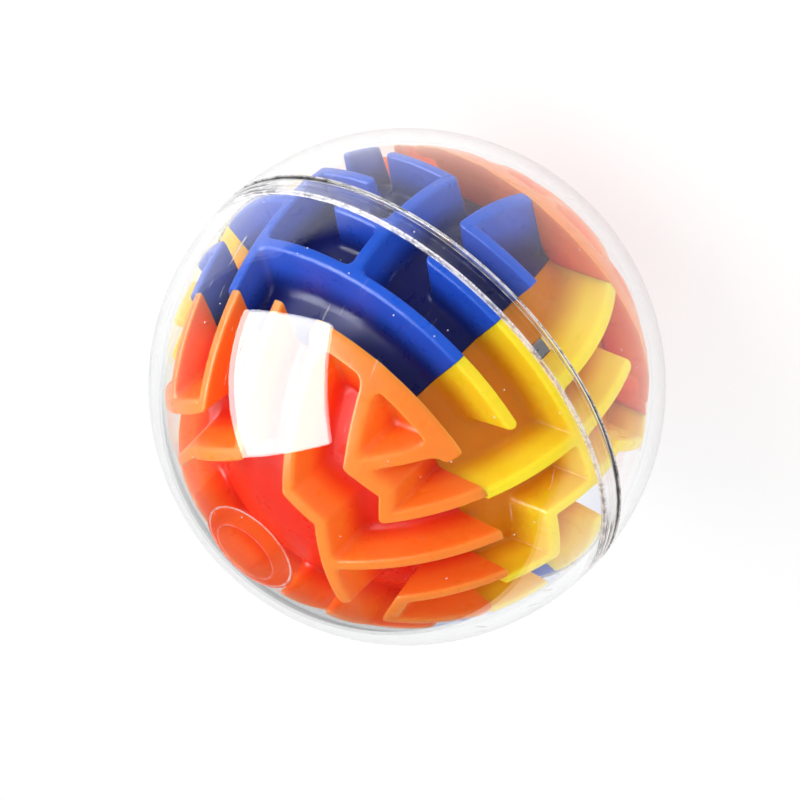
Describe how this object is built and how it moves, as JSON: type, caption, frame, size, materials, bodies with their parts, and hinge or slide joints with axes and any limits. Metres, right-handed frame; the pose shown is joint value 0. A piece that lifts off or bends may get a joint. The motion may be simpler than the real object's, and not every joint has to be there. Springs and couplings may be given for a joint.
{
  "type": "3d maze ball puzzle",
  "caption": "Hand-held ball maze: a clear two-part ball shell round a fixed globe of coloured maze walls, with a steel ball that rolls along the channels.",
  "frame": {"origin": "centre of the ball", "axes": "+Z through the front pole, square to the seam; +Y towards the middle of the upper blue belt segment; +X towards the middle of the right yellow one"},
  "size_m": [0.055, 0.055, 0.0546],
  "materials": {
    "clear_plastic": "clear, polished, lightly scratched",
    "orange_plastic": "gloss, slightly translucent",
    "blue_plastic": "gloss",
    "yellow_plastic": "gloss, slightly translucent",
    "polished_steel": "polished"
  },
  "bodies": {
    "globe_and_shell": {"shell_front": "clear_plastic", "shell_rear": "clear_plastic", "orange_cap_front": "orange_plastic", "orange_cap_rear": "orange_plastic", "blue_segment_upper": "blue_plastic", "blue_segment_lower": "blue_plastic", "yellow_segment_right": "yellow_plastic", "yellow_segment_left": "yellow_plastic"},
    "rolling_ball": {"steel_ball": "polished_steel"}
  },
  "joints": [
    {"name": "ball_roll", "type": "hinge", "parent": "globe_and_shell", "child": "rolling_ball", "pos_m": [0, 0, 0.00481], "axis": [0, 0, 1], "range_deg": [-24, 24]}
  ]
}
